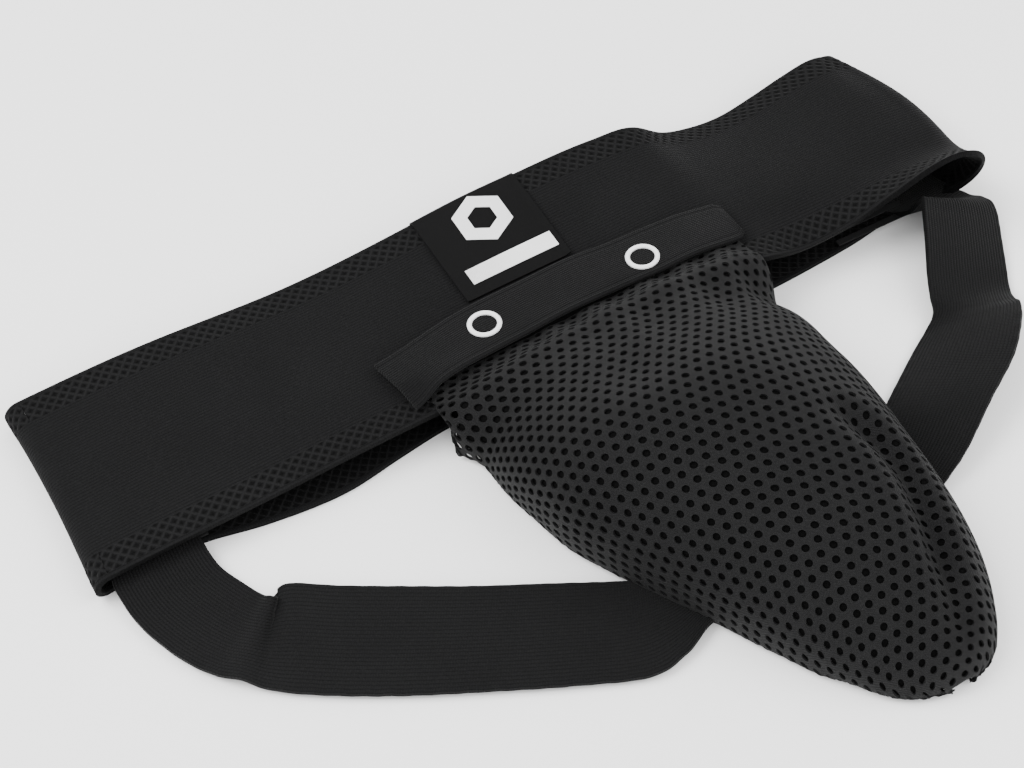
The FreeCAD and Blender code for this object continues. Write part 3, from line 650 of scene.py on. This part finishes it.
def buildEmblem():
    shape = label["hexagon"]
    middle = [value * mm for value in shape["middle"]]
    deselect()
    bpy.ops.mesh.primitive_circle_add(
        vertices=6, radius=shape["radius"] * mm, fill_type="NGON", location=(middle[0], middle[1], 0)
    )
    piece = bpy.context.object
    piece.name = piece.data.name = "labelHexagon"
    bpy.ops.object.transform_apply(location=True, rotation=True, scale=True)
    bpy.ops.object.mode_set(mode="EDIT")
    bpy.ops.mesh.select_all(action="SELECT")
    bpy.ops.mesh.inset(thickness=(shape["radius"] - shape["hole"]) * hexagonFlat * mm, depth=0)
    bpy.ops.mesh.delete(type="FACE")
    bpy.ops.mesh.select_all(action="SELECT")
    bpy.ops.mesh.subdivide(number_cuts=6)
    bpy.ops.object.mode_set(mode="OBJECT")
    layOnLabel(piece, label["threadHigh"])
    return piece


def buildBar():
    shape = label["bar"]
    wide, high = shape["size"]
    deselect()
    middle = [value * mm for value in shape["middle"]]
    bpy.ops.mesh.primitive_grid_add(
        x_subdivisions=34, y_subdivisions=8, size=1, location=(middle[0], middle[1], 0)
    )
    piece = bpy.context.object
    piece.name = piece.data.name = "labelBar"
    piece.scale = (wide * mm, high * mm, 1)
    bpy.ops.object.transform_apply(location=True, rotation=True, scale=True)
    layOnLabel(piece, label["threadHigh"])
    return piece


band = {
    "left": -53, "right": 80, "cloth": 1.7, "size": (133, 23), "grid": (266, 60),
    "lean": 4.0, "roundEnd": 1.8,
    "upper": [
        (-53, -10.5), (-42, -9.5), (-21, -6), (6, -5), (25, -4.8), (38, -6.2), (54, -7), (66, -8),
        (80, -9.5),
    ],
    "lower": [
        (-53, -33.5), (-46, -32), (-38, -30.4), (-28, -29), (-12, -28), (17, -26.8), (31, -27),
        (47, -28), (58, -28), (71, -28.5), (80, -29),
    ],
}


def bandHeight(x, y):  # upper face of the band, level with the CAD band near the press studs
    base, slopeX, slopeY = cadPlane("snap_band")
    plane = base + slopeX * x + slopeY * y + band["cloth"] / 2
    leftEnd = step(-x, 34, 53)
    sag = leftEnd * (1.2 + 3.0 * step(-y, 22, 36))
    rightEnd = step(x, 62, 80)
    wave = 0.35 * np.sin(x / 6.5) * step(-y, 20, 28) * (1 - hump(x, -15, 9)) * (1 - hump(x, 45, 9))
    return plane - sag - 1.6 * rightEnd + wave


def buildBand():
    def place(u, v):
        x = band["left"] + (band["right"] - band["left"]) * u
        # the ends are rounded a little
        ends = band["roundEnd"] * (step(x, band["right"] - 3, band["right"]) ** 2)
        low = through(band["lower"], x) + ends
        high = through(band["upper"], x) - ends
        y = low + (high - low) * v
        lean = band["lean"] * step(-x, 38, 53) * (1 - v)
        z = bandHeight(x, y)
        rim = np.minimum(v, 1 - v) * (high - low)
        z = z - 0.5 * (1 - step(rim, 0, 0.9)) - 0.18 * hump(rim, 2.4, 0.35)
        return x + lean, y, z

    piece = clothGrid("snapBandWebbing", *band["grid"], place, band["size"])
    thicken(piece, band["cloth"])
    smooth(piece)
    look = dict(blackCloth, pitch=0.9, thread=0.7, color=(0.0047, 0.0047, 0.0049))
    finishPiece(piece, wovenMaterial("bandWebbing", look), "snap_flap", ["snap_band"])
    print("band done")


pouch = {
    # place along -y, middle, half width, crown height above the base, roundness, height of the base
    "stations": [
        (26, 17, 61, 1.2, 2.0, 1.5),
        (30, 17, 61, 3.0, 2.0, 1.5),
        (36, 18, 61.5, 7.0, 2.1, 1.0),
        (44, 19, 61, 17, 2.2, 0.4),
        (54, 20.5, 57.5, 35, 2.3, 0.0),
        (66, 22, 58, 43.5, 2.35, 0.0),
        (80, 23.5, 56.5, 51, 2.35, 0.0),
        (96, 26, 55, 54.5, 2.35, 0.0),
        (112, 30, 51, 53.5, 2.35, 0.0),
        (128, 34, 46, 50, 2.35, 0.0),
        (143, 37.5, 41, 44.5, 2.3, 0.0),
        (157, 40.5, 36.5, 38, 2.25, 0.0),
        (170, 43, 31.5, 31, 2.2, 0.0),
        (181, 45, 25.5, 24, 2.1, 0.0),
        (189, 46.5, 19.5, 17, 2.0, 0.0),
        (194.5, 47.5, 12.5, 10.5, 2.0, 0.0),
        (197.5, 48, 5, 4.5, 2.0, 0.0),
    ],
    "cell": (4.6, 3.95), "hole": (0.57, 0.66), "cloth": 0.75, "weld": 0.00012,
    "innerGap": 1.5, "innerCloth": 0.5, "innerShort": 9, "innerInset": 6, "innerLow": 1.4,
    "innerGrid": (130, 150), "innerSize": (150, 200),
    "liningStart": 25, "liningLength": 164, "liningCloth": 1.1, "liningLow": 1.3, "liningInset": 4.5,
    "tongueHalf": 44, "liningGrid": (90, 120), "liningSize": (120, 170),
    "tiltStart": 29.5, "tiltRise": 13.0, "tilt": 0.0558,
    "groove": [(0, 47, -112), (1, 55, -126), (2, 59, -140), (3, 58, -155), (4, 55, -170), (5, 52, -184)],
    "grooveDepth": 5.5, "ridgeHeight": 2.6,
    "wire": 161, "low": 1.7, "turnUnder": 7,
}


def poseBase(x, y):  # underside of the mesh: over the waistband, then down to the lining
    half = waist["height"] / 2
    onBand = frontHeight(x, np.clip(y, -half, half)) + 0.5
    return onBand + (pouch["low"] - onBand) * step(-y, 37, 58)


def grooveShift(x, y):  # height change where the mesh sags off the cup's edge
    line = through(pouch["groove"], np.linspace(0, 5, 60))
    deltaX = x[..., None] - line[:, 0]
    deltaY = y[..., None] - line[:, 1]
    distance = np.hypot(deltaX, deltaY)
    nearest = distance.argmin(axis=-1)
    gap = np.take_along_axis(distance, nearest[..., None], axis=-1)[..., 0]
    side = np.sign(np.take_along_axis(deltaX, nearest[..., None], axis=-1)[..., 0])
    ends = step(nearest, 0, 14) * (1 - 0.6 * step(nearest, 44, 59))
    valley = -pouch["grooveDepth"] * np.exp(-(gap / 4.5) ** 2)
    ridge = pouch["ridgeHeight"] * np.exp(-((gap * side - 9.5) / 6.0) ** 2)
    shelf = 1.2 * np.exp(-((gap * side + 8) / 6.0) ** 2)
    return (valley + ridge + shelf) * ends


def pouchWires():
    rings = []
    stations = np.array(pouch["stations"])
    along = np.concatenate([
        np.linspace(26, 60, 45), np.linspace(60, 180, 90)[1:], np.linspace(180, 197.5, 30)[1:]
    ])
    for place in along:
        middle, half, crown, power, over = through([tuple(row) for row in stations], np.array([place]))[0]
        turn = np.linspace(math.pi, 0, pouch["wire"])
        cosine = np.cos(turn)
        sine = np.sin(turn)
        x = middle + half * np.sign(cosine) * np.abs(cosine) ** (2 / power)
        rise = crown * np.abs(sine) ** (2 / power)
        y = np.full_like(x, -place)
        # the crown leans left, the right side hangs fuller
        x = x - 0.10 * rise * step(place, 45, 90) * (1 - step(place, 120, 165))
        side = (x - middle) / max(half, 1)
        slump = 0.05 * half * np.sin(math.pi * np.clip(rise / max(crown, 1), 0, 1)) * side
        x = x + slump * step(place, 50, 80)
        z = poseBase(x, y) + rise
        z = z + grooveShift(x, y) * step(rise, 4, 14)
        dent = -2.6 * hump(x, 6, 11) * hump(y, -74, 10)
        gathers = 0.8 * np.sin(x / 2.6 + 0.8 * np.sin(x / 9)) * hump(place, 31, 9) * step(x, -30, 10)
        folds = 0.9 * np.sin(x / 3.1 + place / 34 + np.sin(x / 11)) * hump(place, 50, 17)
        folds = folds * step(x, -8, 18) * (1 - step(x, 66, 76))
        z = z + (dent + folds) * step(rise, 2, 10) + gathers * step(rise, 0.3, 1.5)
        hem = 0.8 * np.sin(place / 3.1) * (1 - step(rise, 0, 5)) * step(place, 150, 185)
        ring = np.stack([x, y + hem, np.maximum(z, pouch["low"])], axis=1)
        rings.append(turnUnder(ring, middle, step(place, 44, 60)))
    for back in (2.5, 6.0):  # the tip turns under as well
        ring = rings[-1].copy()
        ring[:, 1] += back
        ring[:, 2] = pouch["low"] - 0.4
        rings.append(ring)
    return np.array(rings)


def turnUnder(ring, middle, share):  # carries both ends of a wire in under the pouch
    reach = pouch["turnUnder"] * share * min(1, abs(ring[0][0] - middle) / 12)
    steps = np.linspace(1, 0.1, 6)[:, None]
    low = np.minimum(ring[[0, -1], 2], pouch["low"])
    left = np.tile(ring[0], (6, 1)) + steps * (reach, 0, 0)
    right = np.tile(ring[-1], (6, 1)) - steps[::-1] * (reach, 0, 0)
    left[:, 2] = np.where(share > 0, low[0] - 0.4 * share, ring[0][2])
    right[:, 2] = np.where(share > 0, low[1] - 0.4 * share, ring[-1][2])
    return np.concatenate([left, ring, right])


def spread(rings):  # turns (across, along) lengths on the cloth into points of the surface
    centre = rings.shape[1] // 2
    crest = rings[:, centre]
    run = np.concatenate([[0], np.cumsum(np.linalg.norm(np.diff(crest, axis=0), axis=1))])
    across = []
    for ring in rings:
        length = np.concatenate([[0], np.cumsum(np.linalg.norm(np.diff(ring, axis=0), axis=1))])
        across.append(length - length[centre])
    across = np.array(across)

    def at(a, b):
        place = np.interp(b, run, np.arange(len(run)))
        low = np.clip(place.astype(int), 0, len(run) - 2)
        share = (place - low)[:, None]
        points = np.empty((len(a), 3))
        for index in np.unique(low):
            chosen = low == index
            pair = []
            for ring, lengths in ((rings[index], across[index]), (rings[index + 1], across[index + 1])):
                parts = [np.interp(a[chosen], lengths, ring[:, part]) for part in range(3)]
                pair.append(np.stack(parts, axis=1))
            points[chosen] = pair[0] * (1 - share[chosen]) + pair[1] * share[chosen]
        return points

    def reach(b):
        low = np.interp(b, run, across[:, 0])
        high = np.interp(b, run, across[:, -1])
        return low, high

    return at, reach, run[-1]


def hexOutline():
    wide, pitch = pouch["cell"]
    corners = np.array([(0, 2), (1.5, 1), (1.5, -1), (0, -2), (-1.5, -1), (-1.5, 1)]) / 3
    return corners * (wide, pitch)


def holeShare(side, run):  # the holes are pulled open near the mouth's left and along the right side
    small, large = pouch["hole"]
    opened = step(-side, 0.25, 0.7) * (1 - step(run, 60, 120)) + step(side, 0.3, 0.55) * step(run, 45, 80)
    return small + (large - small) * float(np.clip(opened, 0, 1))


def buildMesh():
    rings = pouchWires()
    at, reach, total = spread(rings)
    wide, pitch = pouch["cell"]
    outline = hexOutline()
    flats = []
    faces = []
    for line in range(int(total / pitch)):
        b = (line + 0.5) * pitch
        low, high = reach(min(b, total))
        shift = wide / 2 if line % 2 else 0
        first = math.floor((low - shift) / wide)
        last = math.ceil((high - shift) / wide)
        for cell in range(first, last + 1):
            a = cell * wide + shift
            if a < low - wide * 0.1 or a > high + wide * 0.1:
                continue
            start = len(flats)
            centre = np.array([a, b])
            flats.extend(centre + outline)
            flats.extend(centre + outline * holeShare(a / max(high, 1), b))
            faces.extend(
                (start + side, start + (side + 1) % 6, start + 6 + (side + 1) % 6, start + 6 + side)
                for side in range(6)
            )
    flats = np.array(flats)
    limits = reach(np.clip(flats[:, 1], 0, total))
    a = np.clip(flats[:, 0], *limits)
    points = at(a, np.clip(flats[:, 1], 0, total))
    mesh = bpy.data.meshes.new("pouchAirMesh")
    mesh.from_pydata((points * mm).tolist(), [], [face[::-1] for face in faces])
    mesh.uv_layers.new(name="UVMap")
    corners = np.empty(len(mesh.loops), int)
    mesh.loops.foreach_get("vertex_index", corners)
    mesh.uv_layers[0].data.foreach_set("uv", (flats[corners] * mm).ravel())
    piece = bpy.data.objects.new("pouchAirMesh", mesh)
    bpy.context.scene.collection.objects.link(piece)
    mergeDoubles(piece, pouch["weld"])
    faceOutwards(piece)
    rounding = piece.modifiers.new("roundHoles", "SUBSURF")
    rounding.levels = rounding.render_levels = 1
    rounding.boundary_smooth = "ALL"
    applyModifiers(piece)
    thicken(piece, pouch["cloth"])
    smooth(piece, 70)
    finishPiece(piece, meshMaterial(), "garment", ["pouch_mesh"])
    inner = buildInnerFace(at, reach, total)
    print("mesh done", len(piece.data.polygons), "inner", len(inner.data.polygons))


def buildInnerFace(at, reach, total):
    def place(u, v):
        b = (total - pouch["innerShort"]) * v
        low, high = reach(b)
        inset = np.minimum(pouch["innerInset"], (high - low) / 4)
        a = low + inset + (high - low - 2 * inset) * u
        points = at(a, b)
        near = at(np.clip(a + 1, low, high), b) - at(np.clip(a - 1, low, high), b)
        far = at(a, np.clip(b + 1, 0, total)) - at(a, np.clip(b - 1, 0, total))
        normal = -np.cross(near, far)
        size = np.linalg.norm(normal, axis=1, keepdims=True)
        normal = np.where(size > 1e-6, normal / np.maximum(size, 1e-6), (0, 0, 1))
        points = points - normal * pouch["innerGap"]
        points[:, 2] = np.maximum(points[:, 2], pouch["innerLow"])
        return points[:, 0], points[:, 1], points[:, 2]

    piece = clothGrid("pouchInnerFace", *pouch["innerGrid"], place, pouch["innerSize"])
    thicken(piece, pouch["innerCloth"])
    smooth(piece, 70)
    # a backing layer coloured darker than the other cloth: painted shade inside the pouch, seen through the
    # mesh holes
    look = dict(
        blackCloth, kind="weave", color=(0.002, 0.002, 0.002), gap=(0.001, 0.001, 0.001),
        pitch=1.1, thread=1.1, relief=0.12, roughness=0.95, sheen=0, lint=0.05, specular=0.06,
    )
    finishPiece(piece, wovenMaterial("innerKnitShade", look), "garment")
    return piece


def meshMaterial():
    material, tree, shader, places = startMaterial("airMesh", 0.7, 0.03, 0.1)
    fuzz = placeGroup(tree, fuzzGroup, Place=places.outputs["Object"], Lint=0.5)
    weave = placeGroup(
        tree, weaveGroup, Cloth=places.outputs["UV"], Warp_Pitch=0.9 * mm, Weft_Pitch=0.55 * mm
    )
    # painted shade: a darker colour in the gaps between the mesh threads
    color = mixColors(tree, weave.outputs["ShadeGap"], (0.005, 0.005, 0.0052), (0.002, 0.002, 0.0021))
    color = scaleColor(tree, color, fuzz.outputs["Tone"])
    color = mixColors(tree, fuzz.outputs["Specks"], color, (0.032, 0.032, 0.033))
    tree.links.new(color, shader.inputs["Base Color"])
    addBump(tree, shader, weave.outputs["Height"], 0.2 * mm)
    return material


def buildLining():
    stations = [(row[0], row[1], row[2]) for row in pouch["stations"]]

    def place(u, v):
        along = pouch["liningStart"] + pouch["liningLength"] * v
        tongue = step(along, 48, 66)
        table = through(stations, along)
        middle = table[:, 0]
        half = (table[:, 1] - pouch["liningInset"]) * tongue + pouch["tongueHalf"] * (1 - tongue)
        x = middle + half * (2 * u - 1)
        z = pouch["tiltRise"] - pouch["tilt"] * (along - pouch["tiltStart"])
        bow = 0.9 * np.sin(math.pi * u) * np.sin(math.pi * v)
        return x, -along, np.maximum(z - bow, pouch["liningLow"])

    piece = clothGrid(
        "pouchLining", *pouch["liningGrid"], lambda u, v: place(1 - u, v), pouch["liningSize"]
    )
    thicken(piece, pouch["liningCloth"])
    smooth(piece)
    look = dict(blackCloth, kind="weave", pitch=1.2, thread=0.8, relief=0.16, roughness=0.9)
    finishPiece(piece, wovenMaterial("liningKnit", look), "garment", ["pouch_lining"])
    print("lining done")


strap = {
    "cloth": 1.5, "grid": (420, 40),
    # inner edge then outer edge, from the sewn end inside the waistband to the pouch
    "left": [
        (-127, -18, 4.0, -157, -18, 4.0), (-127.5, -30, 4.0, -157.5, -30, 4.0),
        (-128, -38, 3.7, -159, -40, 3.7), (-127, -47, 1.9, -157.5, -54, 1.9),
        (-123.5, -56, 1.8, -152, -70, 1.8), (-120.5, -63, 2.6, -145.5, -81, 2.2),
        (-118.5, -66.5, 4.6, -139.5, -87.5, 3.6), (-116, -64, 1.9, -134, -93, 1.9),
        (-111, -63.5, 1.8, -126, -99.5, 1.8), (-98, -72, 1.8, -112, -108.5, 1.8),
        (-82, -81.5, 1.8, -95, -118, 1.8), (-62, -93, 1.8, -73, -129, 1.8),
        (-42, -103.5, 1.8, -52, -139, 1.8), (-26, -112, 1.8, -31, -147.5, 1.8),
        (-14, -118, 1.8, -17, -146, 2.4), (-2, -122, 1.8, -5, -141, 2.6),
        (12, -128, 1.8, 9, -142, 2.0), (26, -134, 1.8, 24, -148, 1.8),
    ],
    "right": [
        (136, -16, 4.0, 162, -16, 4.4), (138, -28, 4.0, 165, -28, 4.6),
        (143.5, -35, 7, 169, -38, 5.2), (145.5, -38.5, 15, 172, -43, 6.5),
        (144, -42, 20.5, 173, -47, 6.5), (141, -47, 20, 171.5, -52, 5.5),
        (136.5, -55.5, 16, 167, -60.5, 4), (131, -65, 11.5, 162, -69.5, 3),
        (127.5, -72, 8.5, 157, -78, 2.6), (125.5, -76.5, 5.5, 152, -85.5, 7.5),
        (120, -80, 3.2, 148.5, -92, 13.5), (112, -84.5, 2.2, 140, -101.5, 18),
        (101, -91.5, 2.0, 129.5, -111, 18.5), (89, -99.5, 2.0, 114.5, -120, 15.5),
        (78, -108, 2.0, 98, -130, 9), (68, -115, 2.0, 84, -136, 4),
        (57, -123, 2.0, 68, -145, 2.2), (44, -132, 1.9, 51, -155, 1.9),
    ],
    "size": {"left": (205, 38), "right": (190, 38)},
}


def buildStrap(side):
    stations = [(index, *row) for index, row in enumerate(strap[side])]
    last = len(stations) - 1
    reach = np.array([row[1:] for row in stations])
    middle = (reach[:, :3] + reach[:, 3:]) / 2
    run = np.concatenate([[0], np.cumsum(np.linalg.norm(np.diff(middle, axis=0), axis=1))])

    def place(u, v):
        index = np.interp(u * run[-1], run, np.arange(last + 1))
        edges = through(stations, index)
        inner = edges[:, :3]
        outer = edges[:, 3:]
        point = inner + (outer - inner) * v[:, None]
        ripple = 0.12 * np.sin(u * 190) * step(np.abs(v - 0.5), 0.42, 0.5)
        return point[:, 0], point[:, 1], point[:, 2] + ripple

    piece = clothGrid(f"legStrap{side.capitalize()}", *strap["grid"], place, strap["size"][side])
    thicken(piece, strap["cloth"])
    faceOutwards(piece)
    smooth(piece)
    finishPiece(piece, strapMaterial(), "garment", [f"leg_strap_{side}"])
    print("strap done", side)


def strapMaterial():
    known = bpy.data.materials.get("strapElastic")
    if known:
        return known
    look = dict(
        blackCloth, pitch=1.35, thread=0.7, relief=0.35, color=(0.0055, 0.0055, 0.0057), roughness=0.8
    )
    return wovenMaterial("strapElastic", look)


def enamelMaterial():
    material, tree, shader, places = startMaterial("whiteEnamel", 0.32)
    noise = tree.nodes.new("ShaderNodeTexNoise")
    noise.inputs["Scale"].default_value = 420
    tree.links.new(places.outputs["Object"], noise.inputs["Vector"])
    color = mixColors(tree, noise.outputs[0], (0.84, 0.84, 0.85), (0.92, 0.92, 0.92))
    tree.links.new(color, shader.inputs["Base Color"])
    shader.inputs["Coat Weight"].default_value = 0.5
    addBump(tree, shader, noise.outputs[0], 0.03 * mm)
    return material


def nickelMaterial():
    material, tree, shader, places = startMaterial("nickelPlate", 0.28)
    shader.inputs["Metallic"].default_value = 1.0
    noise = tree.nodes.new("ShaderNodeTexNoise")
    noise.inputs["Scale"].default_value = 600
    tree.links.new(places.outputs["Object"], noise.inputs["Vector"])
    color = mixColors(tree, noise.outputs[0], (0.48, 0.47, 0.46), (0.66, 0.66, 0.65))
    tree.links.new(color, shader.inputs["Base Color"])
    rough = calc(tree, "MULTIPLY_ADD", noise.outputs[0], 0.2)
    rough.node.inputs[2].default_value = 0.18
    tree.links.new(rough, shader.inputs["Roughness"])
    return material


def mouldedMaterial(name, color, roughness, grain):
    material, tree, shader, places = startMaterial(name, roughness)
    noise = tree.nodes.new("ShaderNodeTexNoise")
    noise.inputs["Scale"].default_value = grain
    noise.inputs["Detail"].default_value = 4
    tree.links.new(places.outputs["Object"], noise.inputs["Vector"])
    shade = tuple(value * 0.7 for value in color)
    tree.links.new(mixColors(tree, noise.outputs[0], shade, color), shader.inputs["Base Color"])
    rough = calc(tree, "MULTIPLY_ADD", noise.outputs[0], 0.25)
    rough.node.inputs[2].default_value = roughness - 0.12
    tree.links.new(rough, shader.inputs["Roughness"])
    addBump(tree, shader, noise.outputs[0], 0.08 * mm)
    return material


def dressCadNodes():
    thread = dict(blackCloth, kind="weave", pitch=0.6, thread=0.6, relief=0.2, color=(0.012, 0.012, 0.0122))
    looks = [
        (["cap_ring_left", "cap_ring_right"], enamelMaterial()),
        (["socket_left", "socket_right", "stud_left", "stud_right", "stud_ring_left", "stud_ring_right"],
         nickelMaterial()),
        (["cup_shell"], mouldedMaterial("cupPlastic", (0.018, 0.018, 0.019), 0.42, 900)),
        (["cup_rim"], mouldedMaterial("rimRubber", (0.01, 0.01, 0.0105), 0.7, 500)),
        (["strap_tacks_left", "strap_tacks_right"], wovenMaterial("tackThread", thread)),
    ]
    for nodes, material in looks:
        for node in nodes:
            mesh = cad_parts[node].data
            mesh.materials.clear()
            mesh.materials.append(material)
    print("hard parts done")


makeCamera()
buildWaistband()
buildLabel()
buildMesh()
buildLining()
buildBand()
buildStrap("left")
buildStrap("right")
dressCadNodes()
makeStudio()
